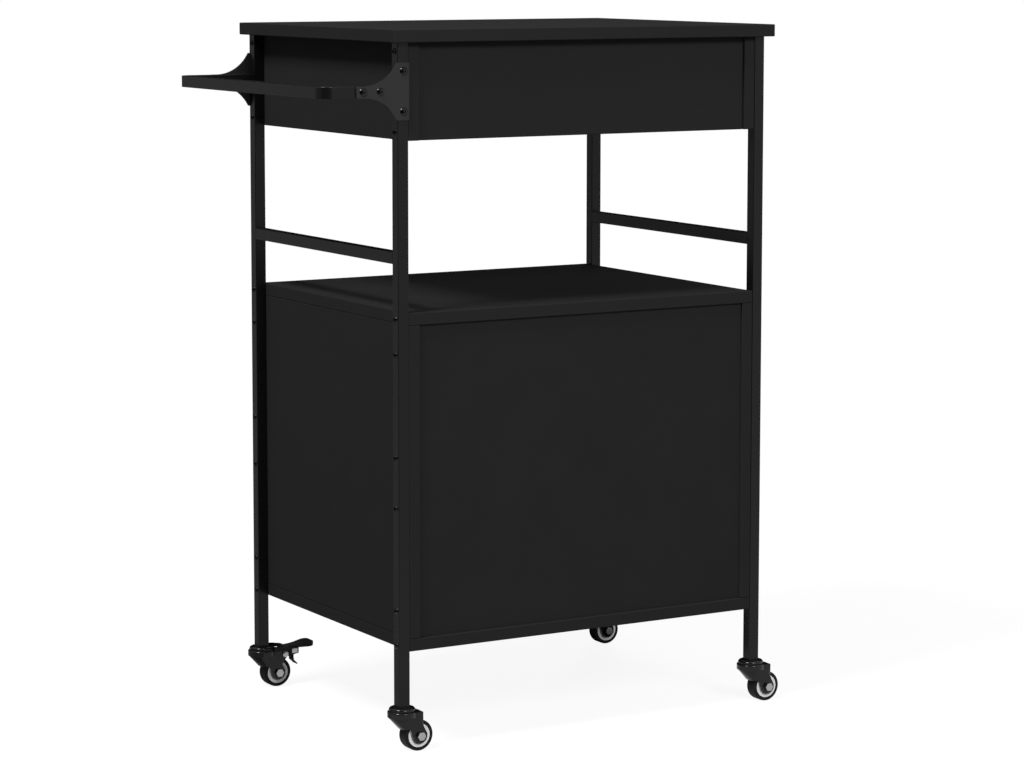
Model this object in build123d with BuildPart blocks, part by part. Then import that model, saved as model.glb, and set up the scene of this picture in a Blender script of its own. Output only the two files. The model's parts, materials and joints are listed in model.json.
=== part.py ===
from build123d import *

# Kitchen cart: worktop, drawer, open bay with guard rails, two-door cabinet, push handle and casters.
# Millimetres, Z up. The origin is on the floor, midway between the posts. The drawer and the doors face -Y,
# the push handle is at the +X end, and left and right are as seen from the front.

# Posts and rails: square steel tube
tube = 15.0
tube_wall = 1.2
tube_corner = 0.8
frame_width = 549.0
frame_depth = 419.0
rail_height = 60.8

# Boards
board = 16.0
side_overhang = 9.5
depth_overhang = 11.0
back_inset = 4.0
back_panel = 3.0
groove_depth = 5.0
groove_clearance = 0.1

# Heights, from the floor up
caster_height = 57.5
bottom_height = 128.7
cabinet_height = 397.3
bay_height = 214.3
drawer_box_height = 121.7

# Screws through the posts into the boards
screw_radius = 2.0
screw_bite = 10.0
screw_head_radius = 4.2
screw_head_height = 2.4
box_screw_inset = 11.0
cabinet_screw_outer = 36.5
cabinet_screw_inner = 166.5

# Dowels between the boards
dowel_radius = 4.0
dowel_face_depth = 10.0
dowel_edge_depth = 20.0
dowel_inset = 80.0
dowel_rise = 30.0

# Push handle with its bracket plates and bolts
handle_reach = 105.5
handle_drop = 60.2
handle_bend = 8.5
bracket_thickness = 2.5
bracket_height = 71.0
bracket_shoulder = 1.5
bracket_flare = 47.5
bracket_length = 58.0
bracket_corner = 2.0
bolt_radius = 2.5
bolt_grip = 12.0
bolt_head_radius = 5.3
bolt_head_height = 2.8
bolt_clearance = 0.2
post_bolt_pitch = 50.0
stem_bolt_first = 24.9
stem_bolt_pitch = 23.8

# Drawer
front_gap = 2.0
drawer_board = 12.0
drawer_back_gap = 23.0
drawer_side_height = 80.0
drawer_lift = 14.0
drawer_bottom_thickness = 3.0
drawer_bottom_rise = 8.0
drawer_groove_depth = 5.0

# Drawer slides
slide_width = 12.5
slide_height = 35.0
slide_end_gap = 10.0
slide_wall = 1.2
slide_flange = 9.5
slide_clearance = 0.3

# Bow handles on the drawer and the doors
bow_pitch = 128.0
bow_projection = 28.0
bow_bar = 8.0
bow_corner = 5.0
door_bow_inset = 32.0
door_bow_drop = 110.0

# Doors and hinges
door_gap = 2.0
hinge_gap = 3.0
hinge_height = 48.0
hinge_inset = 60.0
leaf = 1.2
leaf_width = 14.0
barrel_radius = 3.0
barrel_clearance = 0.3
pin_radius = 1.5
pin_clearance = 0.05
knuckle_clearance = 0.3

# Magnetic catch and its strike plates
catch_width = 56.0
catch_depth = 16.0
catch_height = 13.0
strike_thickness = 1.2
strike_width = 20.0
strike_height = 9.0
strike_gap = 0.3

# Inner shelf on pins
inner_shelf_rise = 185.0
inner_shelf_setback = 22.0
inner_shelf_gap = 1.0
shelf_pin_radius = 2.5
shelf_pin_length = 8.0
shelf_pin_inset = 60.0

# Casters
trail = 20.0
wheel_radius = 20.0
wheel_width = 17.0
tyre_depth = 4.8
tread_rounding = 1.5
rim_depth = 4.1
web_width = 7.0
hub_radius = 6.5
hub_clearance = 0.3
axle_radius = 3.0
axle_clearance = 0.05
nut_across_flats = 10.0
nut_height = 4.0
fork_wall = 1.8
fork_half_width = 12.5
fork_end_radius = 9.8
hood_top = 6.7
hood_hem = 28.0
hood_top_reach = 24.0
hood_hem_reach = 26.0
hood_hem_lead = 3.9
hood_hem_back = 6.8
hood_nose_back = 3.0
crown_radius = 18.7
crown_height = 7.8
crown_rounding = 2.0
cap_radius = 16.8
cap_height = 2.5
cap_rounding = 3.0
skirt_radius = 14.5
skirt_gap = 0.8
race_gap = 2.2
race_radius = 12.0
race_clearance = 0.1
neck_radius = 6.0
neck_clearance = 0.05
rivet_radius = 8.5
rivet_height = 1.5
rivet_gap = 0.3
stem_radius = 4.0
stem_length = 28.0
insert_height = 32.0

# Brake pedals of the front casters: lengths run back from the swivel axis, rises are above the pivot
pedal_pivot_back = 29.5
pedal_pivot_drop = 12.5
pedal_pin_radius = 2.0
pedal_pin_clearance = 0.05
pedal_pin_head_radius = 4.0
pedal_pin_head = 1.6
pedal_boss_radius = 5.0
pedal_clearance = 0.5
pad_start = 27.0
pad_heel = 33.0
pad_middle = 52.0
pad_nose = 73.0
pad_tip = 77.5
pad_start_rise = 9.5
pad_middle_rise = 10.5
pad_nose_rise = 13.5
pad_belly_rise = 6.2
pad_heel_radius = 6.5
pad_tip_radius = 11.5
arm_start = 12.0
arm_peak = 21.0
arm_end = 36.0
arm_start_rise = 10.5
arm_peak_rise = 11.5
arm_low_rise = 5.2
arm_offset = 14.9
arm_thickness = 1.6
yoke_start = 30.0
yoke_thickness = 3.0
cheek_end = 51.5
cheek_depth = 9.0
shoe_thickness = 1.6
shoe_width = 12.0
shoe_back = 15.5
shoe_drop = 11.0
shoe_tail = 6.0

# Places that follow from the sizes
front_y = -frame_depth / 2
back_y = frame_depth / 2
post_x = (frame_width - tube) / 2
post_y = (frame_depth - tube) / 2
end_x = frame_width / 2
panel_x = end_x - tube
inner_x = panel_x - board
panel_mid_x = panel_x - board / 2
bottom_z = bottom_height
cabinet_z = bottom_z + board
shelf_z = cabinet_z + cabinet_height
bay_z = shelf_z + board
box_z = bay_z + bay_height
worktop_z = box_z + drawer_box_height
rail_z = bay_z + rail_height
handle_z = worktop_z - handle_drop
front_back_y = front_y + board
back_panel_y = back_y - back_inset - back_panel
box_back_y = back_y - back_inset - board
dowel_y = back_y - dowel_inset
axle_z = wheel_radius
screw_heights = [
    worktop_z - box_screw_inset,
    box_z + box_screw_inset,
    shelf_z + board / 2,
    shelf_z - cabinet_screw_outer,
    shelf_z - cabinet_screw_inner,
    cabinet_z + cabinet_screw_inner,
    cabinet_z + cabinet_screw_outer,
    bottom_z + board / 2,
]
sides = {"left": -1, "right": 1}
ends = {"front": -1, "back": 1}


def save(piece, name):
    """Labels a finished piece and writes it as one STEP file."""
    piece.part.label = name
    export_step(piece.part, f"parts/{name}.step")


def facing_x(x, y, z, side):
    """A plane at a point, whose normal points outwards along X."""
    return Plane(origin=(x, y, z), x_dir=(0, 1, 0), z_dir=(side, 0, 0))


def facing_y(x, y, z, end):
    """A plane at a point, whose normal points outwards along Y."""
    return Plane(origin=(x, y, z), x_dir=(1, 0, 0), z_dir=(0, end, 0))


def facing_z(x, y, z, up):
    """A plane at a point, whose normal points up or down."""
    return Plane(origin=(x, y, z), x_dir=(1, 0, 0), z_dir=(0, 0, up))


def block(x0, x1, y0, y1, z0, z1):
    """A box between two corners, in the part that is open."""
    with Locations(((x0 + x1) / 2, (y0 + y1) / 2, (z0 + z1) / 2)):
        Box(abs(x1 - x0), abs(y1 - y0), abs(z1 - z0))


def tube_section():
    """The hollow square section of the posts, rails and push handle, in the sketch that is open."""
    RectangleRounded(tube, tube, tube_corner)
    Rectangle(tube - 2 * tube_wall, tube - 2 * tube_wall, mode=Mode.SUBTRACT)


def bolt_places(end):
    """The planes of the bracket bolts on one face, at the outer side of the tubes."""
    post = [(post_x, handle_z + lift * post_bolt_pitch / 2) for lift in (-1, 1)]
    stem = [(end_x + stem_bolt_first + step * stem_bolt_pitch, handle_z) for step in (0, 1)]
    return [facing_y(x, end * back_y, z, end) for x, z in post + stem]


# Posts, with the holes of the board screws and, at the handle end, of the bracket bolts
for side_name, side in sides.items():
    for end_name, end in ends.items():
        with BuildPart() as post:
            with BuildSketch(Plane.XY.offset(caster_height)):
                with Locations((side * post_x, end * post_y)):
                    tube_section()
            extrude(amount=worktop_z - caster_height)
            with Locations(*[facing_x(side * end_x, end * post_y, z, side) for z in screw_heights]):
                Hole(screw_radius, depth=tube)
            if side > 0:
                with Locations(*bolt_places(end)[:2]):
                    Hole(bolt_radius + bolt_clearance, depth=bolt_grip)
        save(post, f"post_{end_name}_{side_name}")

# Guard rails across the ends of the open bay
for side_name, side in sides.items():
    with BuildPart() as rail:
        with BuildSketch(Plane.XZ.offset(post_y - tube / 2)):
            with Locations((side * post_x, rail_z + tube / 2)):
                tube_section()
        extrude(amount=2 * tube - frame_depth)
    save(rail, f"guard_rail_{side_name}")

# Worktop, dowelled to the sides of the drawer box
top_x = end_x + side_overhang
top_y = back_y + depth_overhang
with BuildPart() as worktop:
    block(-top_x, top_x, -top_y, top_y, worktop_z, worktop_z + board)
    with Locations(*[facing_z(side * panel_mid_x, end * dowel_y, worktop_z, -1)
                     for side in (-1, 1) for end in (-1, 1)]):
        Hole(dowel_radius, depth=dowel_face_depth)
save(worktop, "worktop")

# Sides of the drawer box
back_mid_y = box_back_y + board / 2
back_dowel_heights = (box_z + dowel_rise, worktop_z - dowel_rise)
for side_name, side in sides.items():
    with BuildPart() as box_side:
        block(side * inner_x, side * panel_x, front_y, back_y, box_z, worktop_z)
        with Locations(*[facing_z(side * panel_mid_x, end * dowel_y, worktop_z, 1) for end in (-1, 1)]):
            Hole(dowel_radius, depth=dowel_edge_depth)
        with Locations(*[facing_x(side * inner_x, back_mid_y, z, -side) for z in back_dowel_heights]):
            Hole(dowel_radius, depth=dowel_face_depth)
        with Locations(*[facing_x(side * panel_x, end * post_y, z, side)
                         for end in (-1, 1) for z in screw_heights[:2]]):
            Hole(screw_radius, depth=screw_bite)
    save(box_side, f"drawer_box_side_{side_name}")

# Back of the drawer box
with BuildPart() as box_back:
    block(-inner_x, inner_x, box_back_y, box_back_y + board, box_z, worktop_z)
    with Locations(*[facing_x(side * inner_x, back_mid_y, z, side)
                     for side in (-1, 1) for z in back_dowel_heights]):
        Hole(dowel_radius, depth=dowel_edge_depth)
save(box_back, "drawer_box_back")


def cabinet_board(z0, face_z, up):
    """The middle shelf or the bottom board: dowel holes and back panel's groove are on its inner face."""
    with BuildPart() as piece:
        block(-panel_x, panel_x, front_y, back_y, z0, z0 + board)
        with Locations(*[facing_z(side * panel_mid_x, end * dowel_y, face_z, up)
                         for side in (-1, 1) for end in (-1, 1)]):
            Hole(dowel_radius, depth=dowel_face_depth)
        with Locations(*[facing_x(side * panel_x, end * post_y, z0 + board / 2, side)
                         for side in (-1, 1) for end in (-1, 1)]):
            Hole(screw_radius, depth=screw_bite)
        with BuildSketch(Plane.XY.offset(face_z)):
            with Locations((0, back_panel_y + back_panel / 2)):
                Rectangle(2 * (inner_x + groove_depth), back_panel + 2 * groove_clearance)
        extrude(amount=-up * groove_depth, mode=Mode.SUBTRACT)
    return piece


save(cabinet_board(shelf_z, shelf_z, -1), "middle_shelf")
save(cabinet_board(bottom_z, cabinet_z, 1), "cabinet_bottom")

# Sides of the cabinet, with the back panel's grooves and the holes of the shelf pins
inner_shelf_z = cabinet_z + inner_shelf_rise
inner_shelf_front = front_back_y + inner_shelf_setback
inner_shelf_back = back_panel_y - inner_shelf_gap
pin_places = [inner_shelf_front + shelf_pin_inset, inner_shelf_back - shelf_pin_inset]
for side_name, side in sides.items():
    with BuildPart() as cabinet_side:
        block(side * inner_x, side * panel_x, front_y, back_y, cabinet_z, shelf_z)
        for z, up in ((shelf_z, 1), (cabinet_z, -1)):
            with Locations(*[facing_z(side * panel_mid_x, end * dowel_y, z, up) for end in (-1, 1)]):
                Hole(dowel_radius, depth=dowel_edge_depth)
        with Locations(*[facing_x(side * panel_x, end * post_y, z, side)
                         for end in (-1, 1) for z in screw_heights[3:7]]):
            Hole(screw_radius, depth=screw_bite)
        with Locations(*[facing_x(side * inner_x, y, inner_shelf_z - shelf_pin_radius, -side)
                         for y in pin_places]):
            Hole(shelf_pin_radius, depth=shelf_pin_length)
        with BuildSketch(Plane.XY.offset(cabinet_z)):
            with Locations((side * (inner_x + groove_depth / 2), back_panel_y + back_panel / 2)):
                Rectangle(groove_depth, back_panel + 2 * groove_clearance)
        extrude(amount=cabinet_height, mode=Mode.SUBTRACT)
    save(cabinet_side, f"cabinet_side_{side_name}")

# Back panel of the cabinet, held all round in the grooves
panel_reach = groove_depth - groove_clearance
with BuildPart() as cabinet_back:
    block(-inner_x - panel_reach, inner_x + panel_reach, back_panel_y, back_panel_y + back_panel,
          cabinet_z - panel_reach, shelf_z + panel_reach)
save(cabinet_back, "cabinet_back")

# Inner shelf and the pins that carry it
with BuildPart() as inner_shelf:
    block(inner_shelf_gap - inner_x, inner_x - inner_shelf_gap, inner_shelf_front, inner_shelf_back,
          inner_shelf_z, inner_shelf_z + board)
save(inner_shelf, "inner_shelf")

with BuildPart() as shelf_pins:
    for side in (-1, 1):
        with Locations(*[facing_x(side * inner_x, y, inner_shelf_z - shelf_pin_radius, side)
                         for y in pin_places]):
            Cylinder(shelf_pin_radius, 2 * shelf_pin_length)
save(shelf_pins, "shelf_pins")


def domed_fastener(radius, length, head_radius, head_height):
    """A screw or bolt with a domed head that rests on Z = 0, its shank pointing down."""
    with BuildPart() as piece:
        with BuildSketch(Plane.XZ):
            with BuildLine():
                Polyline((0, head_height), (0, -length), (radius, -length), (radius, 0), (head_radius, 0))
                TangentArc((0, head_height), (head_radius, 0), tangent=(1, 0))
            make_face()
        revolve(axis=Axis.Z)
    return piece


# Screws on the outer face of every post
post_screw = domed_fastener(screw_radius, tube + screw_bite, screw_head_radius, screw_head_height)
with BuildPart() as post_screws:
    with Locations(*[facing_x(side * end_x, end * post_y, z, side)
                     for side in (-1, 1) for end in (-1, 1) for z in screw_heights]):
        add(post_screw.part)
save(post_screws, "post_screws")

# Dowels: upright ones at the side boards, lying ones at the back of the drawer box
dowel_length = dowel_face_depth + dowel_edge_depth
dowel_shift = dowel_edge_depth - dowel_length / 2
with BuildPart() as board_dowels:
    for z, up in ((worktop_z, -1), (shelf_z, -1), (cabinet_z, 1)):
        with Locations(*[(side * panel_mid_x, end * dowel_y, z + up * dowel_shift)
                         for side in (-1, 1) for end in (-1, 1)]):
            Cylinder(dowel_radius, dowel_length)
    with Locations(*[facing_x(side * (inner_x - dowel_shift), back_mid_y, z, side)
                     for side in (-1, 1) for z in back_dowel_heights]):
        Cylinder(dowel_radius, dowel_length)
save(board_dowels, "board_dowels")

# Push handle: one bent tube, whose ends butt against the posts
bar_x = end_x + handle_reach - tube / 2
with BuildPart() as push_handle:
    with BuildLine(Plane.XY.offset(handle_z)):
        FilletPolyline((end_x, -post_y), (bar_x, -post_y), (bar_x, post_y), (end_x, post_y),
                       radius=handle_bend)
    with BuildSketch(facing_x(end_x, -post_y, handle_z, 1)):
        tube_section()
    sweep()
    for end in (-1, 1):
        with Locations(*bolt_places(end)[2:]):
            Hole(bolt_radius + bolt_clearance, depth=bolt_grip)
save(push_handle, "push_handle")

# Bracket plates: tall on the post, drawn in by an arc to a stem along the handle
shoulder_x = end_x + bracket_shoulder
flare_x = end_x + bracket_flare
tip_x = end_x + bracket_length
with BuildPart() as handle_brackets:
    for end in (-1, 1):
        with BuildSketch(Plane(origin=(0, end * back_y, handle_z), x_dir=(1, 0, 0), z_dir=(0, -1, 0))):
            with BuildLine():
                Polyline((flare_x, tube / 2), (tip_x, tube / 2), (tip_x, 0))
                TangentArc((flare_x, tube / 2), (shoulder_x, bracket_height / 2), tangent=(-1, 0))
                Polyline((shoulder_x, bracket_height / 2), (panel_x, bracket_height / 2), (panel_x, 0))
                mirror(about=Plane.XZ)
            make_face()
            fillet(vertices().group_by(Axis.X)[-1], bracket_corner)
        extrude(amount=-end * bracket_thickness)
        with Locations(*[place.offset(bracket_thickness) for place in bolt_places(end)]):
            Hole(bolt_radius + bolt_clearance, depth=bracket_thickness)
save(handle_brackets, "handle_brackets")

handle_bolt = domed_fastener(bolt_radius, bracket_thickness + bolt_grip, bolt_head_radius, bolt_head_height)
with BuildPart() as handle_bolts:
    for end in (-1, 1):
        with Locations(*[place.offset(bracket_thickness) for place in bolt_places(end)]):
            add(handle_bolt.part)
save(handle_bolts, "handle_bolts")

# Drawer box
drawer_x = inner_x - slide_width
drawer_inner_x = drawer_x - drawer_board
drawer_z = box_z + drawer_lift
drawer_top_z = drawer_z + drawer_side_height
drawer_back_y = box_back_y - drawer_back_gap
drawer_floor_z = drawer_z + drawer_bottom_rise
floor_reach = drawer_groove_depth - groove_clearance
floor_groove = drawer_bottom_thickness + 2 * groove_clearance


def floor_slot():
    """Cuts the groove of the drawer's bottom into the part that is open."""
    x = drawer_inner_x + drawer_groove_depth
    y0 = front_back_y - drawer_groove_depth
    y1 = drawer_back_y - drawer_board + drawer_groove_depth
    with Locations((0, (y0 + y1) / 2, drawer_floor_z + drawer_bottom_thickness / 2)):
        Box(2 * x, y1 - y0, floor_groove, mode=Mode.SUBTRACT)


with BuildPart() as drawer_front:
    block(front_gap - inner_x, inner_x - front_gap, front_y, front_back_y, box_z, worktop_z - front_gap)
    floor_slot()
save(drawer_front, "drawer_front")

for side_name, side in sides.items():
    with BuildPart() as drawer_side:
        block(side * drawer_inner_x, side * drawer_x, front_back_y, drawer_back_y, drawer_z, drawer_top_z)
        floor_slot()
    save(drawer_side, f"drawer_side_{side_name}")

with BuildPart() as drawer_back:
    block(-drawer_inner_x, drawer_inner_x, drawer_back_y - drawer_board, drawer_back_y,
          drawer_z, drawer_top_z)
    floor_slot()
save(drawer_back, "drawer_back")

with BuildPart() as drawer_bottom:
    block(-drawer_inner_x - floor_reach, drawer_inner_x + floor_reach, front_back_y - floor_reach,
          drawer_back_y - drawer_board + floor_reach,
          drawer_floor_z, drawer_floor_z + drawer_bottom_thickness)
save(drawer_bottom, "drawer_bottom")

# Slides: a channel on each side of the drawer box, and a narrower one inside it on the drawer
slide_z = (drawer_z + drawer_top_z) / 2
slide_y = front_back_y + front_gap
slide_length = drawer_back_y - slide_end_gap - front_back_y
runner_height = slide_height - 2 * slide_wall - 2 * slide_clearance
runner_depth = slide_width - slide_wall - slide_clearance
with BuildPart() as slide_rails:
    for side in (-1, 1):
        with BuildSketch(Plane.XZ.offset(-slide_y)):
            with Locations((side * (inner_x - slide_flange / 2), slide_z)):
                Rectangle(slide_flange, slide_height)
            with Locations((side * (inner_x - slide_wall - slide_flange / 2), slide_z)):
                Rectangle(slide_flange, slide_height - 2 * slide_wall, mode=Mode.SUBTRACT)
        extrude(amount=-slide_length)
save(slide_rails, "slide_rails")

with BuildPart() as drawer_slides:
    for side in (-1, 1):
        with BuildSketch(Plane.XZ.offset(-front_back_y)):
            with Locations((side * (drawer_x + runner_depth / 2), slide_z)):
                Rectangle(runner_depth, runner_height)
            with Locations((side * (drawer_x + slide_wall + runner_depth / 2), slide_z)):
                Rectangle(runner_depth, runner_height - 2 * slide_wall, mode=Mode.SUBTRACT)
        extrude(amount=-slide_length)
save(drawer_slides, "drawer_slides")


def bow_handle(plane):
    """A bow handle on a plane whose X runs along the bar and whose Y points away from the front."""
    with BuildPart() as piece:
        with BuildSketch(plane):
            with Locations((0, bow_projection / 2)):
                Rectangle(bow_pitch + bow_bar, bow_projection)
            with Locations((0, (bow_projection - bow_bar) / 2)):
                Rectangle(bow_pitch - bow_bar, bow_projection - bow_bar, mode=Mode.SUBTRACT)
            fillet(vertices().group_by(Axis.Y)[-1], bow_corner)
        extrude(amount=bow_bar / 2, both=True)
    return piece


drawer_front_mid_z = (box_z + worktop_z - front_gap) / 2
save(bow_handle(Plane(origin=(0, front_y, drawer_front_mid_z), x_dir=(1, 0, 0), z_dir=(0, 0, -1))),
     "drawer_handle")

# Doors, with their handles
door_z = cabinet_z + door_gap
door_top_z = shelf_z - door_gap
door_outer_x = inner_x - hinge_gap
for side_name, side in sides.items():
    with BuildPart() as door:
        block(side * door_gap / 2, side * door_outer_x, front_y, front_back_y, door_z, door_top_z)
    save(door, f"door_{side_name}")
    bow_x = side * (door_gap / 2 + door_bow_inset)
    bow_plane = Plane(origin=(bow_x, front_y, door_top_z - door_bow_drop), x_dir=(0, 0, 1), z_dir=(1, 0, 0))
    save(bow_handle(bow_plane), f"door_{side_name}_handle")

# Butt hinges: the cart's leaf has the outer knuckles and the pin, the door's leaf the middle knuckle
pivot_x = inner_x - hinge_gap / 2
pivot_y = front_y - barrel_radius - barrel_clearance
knuckle = hinge_height / 3
hinge_starts = [door_z + hinge_inset - hinge_height / 2, door_top_z - hinge_inset - hinge_height / 2]
leaf_front_y = front_y + barrel_clearance
leaf_back_y = front_y + leaf_width
cart_leaf_x = inner_x - leaf / 2
door_leaf_x = door_outer_x + leaf / 2


def hinge_leaf(leaf_x, side, z, knuckles, bore):
    """One leaf and its knuckles, in the part that is open: knuckles are (start, length) up the barrel."""
    with Locations((side * leaf_x, (leaf_front_y + leaf_back_y) / 2, z + hinge_height / 2)):
        Box(leaf, leaf_back_y - leaf_front_y, hinge_height)
    for start, length in knuckles:
        middle = z + start + length / 2
        with Locations((side * leaf_x, (pivot_y + leaf_front_y) / 2, middle)):
            Box(leaf, leaf_front_y - pivot_y, length)
        with Locations((side * pivot_x, pivot_y, middle)):
            Cylinder(barrel_radius, length)
            Cylinder(bore, length, mode=Mode.SUBTRACT)


with BuildPart() as hinge_cart_leaves:
    for side in (-1, 1):
        for z in hinge_starts:
            hinge_leaf(cart_leaf_x, side, z, ((0, knuckle), (2 * knuckle, knuckle)), pin_radius)
save(hinge_cart_leaves, "hinge_cart_leaves")

with BuildPart() as hinge_pins:
    with Locations(*[(side * pivot_x, pivot_y, z + hinge_height / 2)
                     for side in (-1, 1) for z in hinge_starts]):
        Cylinder(pin_radius, hinge_height)
save(hinge_pins, "hinge_pins")

# Fittings of each door: its hinge leaves and the strike plate of the catch
strike_top_z = door_top_z - knuckle_clearance
for side_name, side in sides.items():
    with BuildPart() as door_fittings:
        for z in hinge_starts:
            middle_knuckle = (knuckle + knuckle_clearance, knuckle - 2 * knuckle_clearance)
            hinge_leaf(door_leaf_x, side, z, (middle_knuckle,), pin_radius + pin_clearance)
        block(side * (catch_width / 2 - strike_width), side * catch_width / 2,
              front_back_y, front_back_y + strike_thickness, strike_top_z - strike_height, strike_top_z)
    save(door_fittings, f"door_{side_name}_fittings")

# Magnetic catch under the middle shelf
catch_y = front_back_y + strike_thickness + strike_gap
with BuildPart() as door_catch:
    block(-catch_width / 2, catch_width / 2, catch_y, catch_y + catch_depth, shelf_z - catch_height, shelf_z)
save(door_catch, "door_catch")

# Casters: heights of the swivel head
cap_z = caster_height - cap_height
crown_top_z = cap_z - race_gap
skirt_z = crown_top_z + skirt_gap
crown_z = crown_top_z - crown_height
hood_top_z = caster_height - hood_top
hem_z = caster_height - hood_hem
rivet_z = crown_z - rivet_gap
post_places = [(side * post_x, end * post_y) for side in (-1, 1) for end in (-1, 1)]

# Inserts in the post ends
insert_side = tube - 2 * tube_wall
with BuildPart() as post_inserts:
    with BuildSketch(Plane.XY.offset(caster_height)):
        with Locations(*post_places):
            Rectangle(insert_side, insert_side)
            Circle(stem_radius, mode=Mode.SUBTRACT)
    extrude(amount=insert_height)
save(post_inserts, "post_inserts")

# Stems: threaded rod, skirted cap under the post, neck of the swivel and the rivet head that holds the fork
with BuildPart() as caster_stem:
    with BuildSketch(Plane.XZ):
        with BuildLine():
            TangentArc((cap_radius - cap_rounding, caster_height), (cap_radius, caster_height - cap_rounding),
                       tangent=(1, 0))
            Polyline((cap_radius, caster_height - cap_rounding), (cap_radius, skirt_z), (skirt_radius, skirt_z),
                     (skirt_radius, cap_z), (neck_radius, cap_z), (neck_radius, rivet_z),
                     (rivet_radius, rivet_z), (rivet_radius, rivet_z - rivet_height),
                     (0, rivet_z - rivet_height), (0, caster_height + stem_length),
                     (stem_radius, caster_height + stem_length), (stem_radius, caster_height),
                     (cap_radius - cap_rounding, caster_height))
        make_face()
    revolve(axis=Axis.Z)
with BuildPart() as caster_stems:
    with Locations(*post_places):
        add(caster_stem.part)
save(caster_stems, "caster_stems")

# Ball races between the caps and the crowns of the forks
race_height = race_gap - 2 * race_clearance
with BuildPart() as caster_ball_races:
    with BuildSketch(Plane.XY.offset(crown_top_z + race_clearance)):
        with Locations(*post_places):
            Circle(race_radius + race_height / 2)
            Circle(race_radius - race_height / 2, mode=Mode.SUBTRACT)
    extrude(amount=race_height)
save(caster_ball_races, "caster_ball_races")


def fork_section(x, y, half_width, lead, reach):
    """Plan of the fork at one height, in the sketch that is open: an oval nose in front, straight behind."""
    with Locations((x - hood_nose_back, y)):
        Ellipse(lead + hood_nose_back, half_width)
    with Locations((x - (hood_nose_back + reach) / 2, y)):
        Rectangle(reach - hood_nose_back, 2 * half_width)


def along_trail(x, y):
    """An upright plane through a caster: X runs from the swivel axis towards the trailing wheel."""
    return Plane(origin=(x, y, 0), x_dir=(-1, 0, 0), z_dir=(0, 1, 0))


cavity_half_width = fork_half_width - fork_wall
pivot_z = caster_height - pedal_pivot_drop


def make_fork(x, y, braked):
    """Pressed fork: crown round the neck, hood drawn in to the side plates, and the plates' round ends."""
    with BuildPart() as fork:
        with BuildSketch(Plane.XY.offset(crown_z)):
            with Locations((x, y)):
                Circle(crown_radius)
        extrude(amount=crown_height)
        fillet(fork.edges().group_by(Axis.Z)[-1], crown_rounding)
        with BuildSketch(Plane.XY.offset(crown_z)):
            fork_section(x, y, fork_half_width, crown_radius, hood_top_reach)
        extrude(amount=hood_top_z - crown_z)
        with BuildSketch(Plane.XY.offset(crown_z)):
            fork_section(x, y, fork_half_width, crown_radius, hood_top_reach)
        with BuildSketch(Plane.XY.offset(hem_z)):
            fork_section(x, y, fork_half_width, hood_hem_lead, hood_hem_reach)
        loft()
        with BuildSketch(Plane.XY.offset(crown_z)):
            fork_section(x, y, cavity_half_width, crown_radius - fork_wall, hood_top_reach + fork_end_radius)
        with BuildSketch(Plane.XY.offset(hem_z)):
            fork_section(x, y, cavity_half_width, hood_hem_lead - fork_wall, hood_hem_reach + fork_end_radius)
        loft(mode=Mode.SUBTRACT)
        for cheek in (-1, 1):
            with BuildSketch(along_trail(x, y + cheek * fork_half_width)):
                with Locations((trail, axle_z)):
                    Circle(fork_end_radius)
                with Locations(((hood_hem_back + hood_hem_reach) / 2, hem_z - fork_wall / 2)):
                    Rectangle(hood_hem_reach - hood_hem_back, fork_wall)
                make_hull()
            extrude(amount=-cheek * fork_wall)
            if braked:
                with BuildSketch(along_trail(x, y + cheek * fork_half_width)):
                    with Locations((pedal_pivot_back, pivot_z)):
                        Circle(pedal_boss_radius)
                    with Locations((hood_top_reach - fork_wall, (hem_z + hood_top_z) / 2)):
                        Rectangle(fork_wall, hood_top_z - hem_z)
                    make_hull()
                extrude(amount=-cheek * fork_wall)
        with Locations((x, y, crown_top_z)):
            Hole(neck_radius + neck_clearance, depth=crown_height)
        with Locations(facing_y(x - trail, y + fork_half_width, axle_z, 1)):
            Hole(axle_radius, depth=2 * fork_half_width)
        if braked:
            with Locations(facing_y(x - pedal_pivot_back, y + fork_half_width, pivot_z, 1)):
                Hole(pedal_pin_radius + pedal_pin_clearance, depth=2 * fork_half_width)
    return fork


def make_axle(x, y):
    """Axle bolt with its hexagon head outside one plate, and the nut outside the other."""
    with BuildPart() as axle:
        with BuildSketch(along_trail(x, y - fork_half_width - nut_height)):
            with Locations((trail, axle_z)):
                Circle(axle_radius)
        extrude(amount=2 * (fork_half_width + nut_height))
        with BuildSketch(along_trail(x, y - fork_half_width - nut_height)):
            with Locations((trail, axle_z)):
                RegularPolygon(nut_across_flats / 2, side_count=6, major_radius=False)
        extrude(amount=nut_height)
        with BuildSketch(along_trail(x, y + fork_half_width)):
            with Locations((trail, axle_z)):
                RegularPolygon(nut_across_flats / 2, side_count=6, major_radius=False)
        extrude(amount=nut_height)
    return axle


def wheel_plane(x, y):
    """A level plane at the middle of the axle: X is the radius and Y runs along the axle."""
    return Plane(origin=(x - trail, y, axle_z), x_dir=(1, 0, 0), z_dir=(0, 0, 1))


rim_radius = wheel_radius - tyre_depth
hub_half = cavity_half_width - hub_clearance
bore_radius = axle_radius + axle_clearance


def make_core(x, y):
    """Wheel core: hub between the fork's plates, a thin web and the rim that carries the tyre."""
    with BuildPart() as core:
        with BuildSketch(wheel_plane(x, y)):
            with BuildLine():
                Polyline((bore_radius, 0), (bore_radius, hub_half), (hub_radius, hub_half),
                         (hub_radius, web_width / 2), (rim_radius - rim_depth, web_width / 2),
                         (rim_radius - rim_depth, wheel_width / 2), (rim_radius, wheel_width / 2),
                         (rim_radius, 0))
                mirror(about=Plane.XZ)
            make_face()
        revolve(axis=Axis((x - trail, y, axle_z), (0, 1, 0)))
    return core


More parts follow.
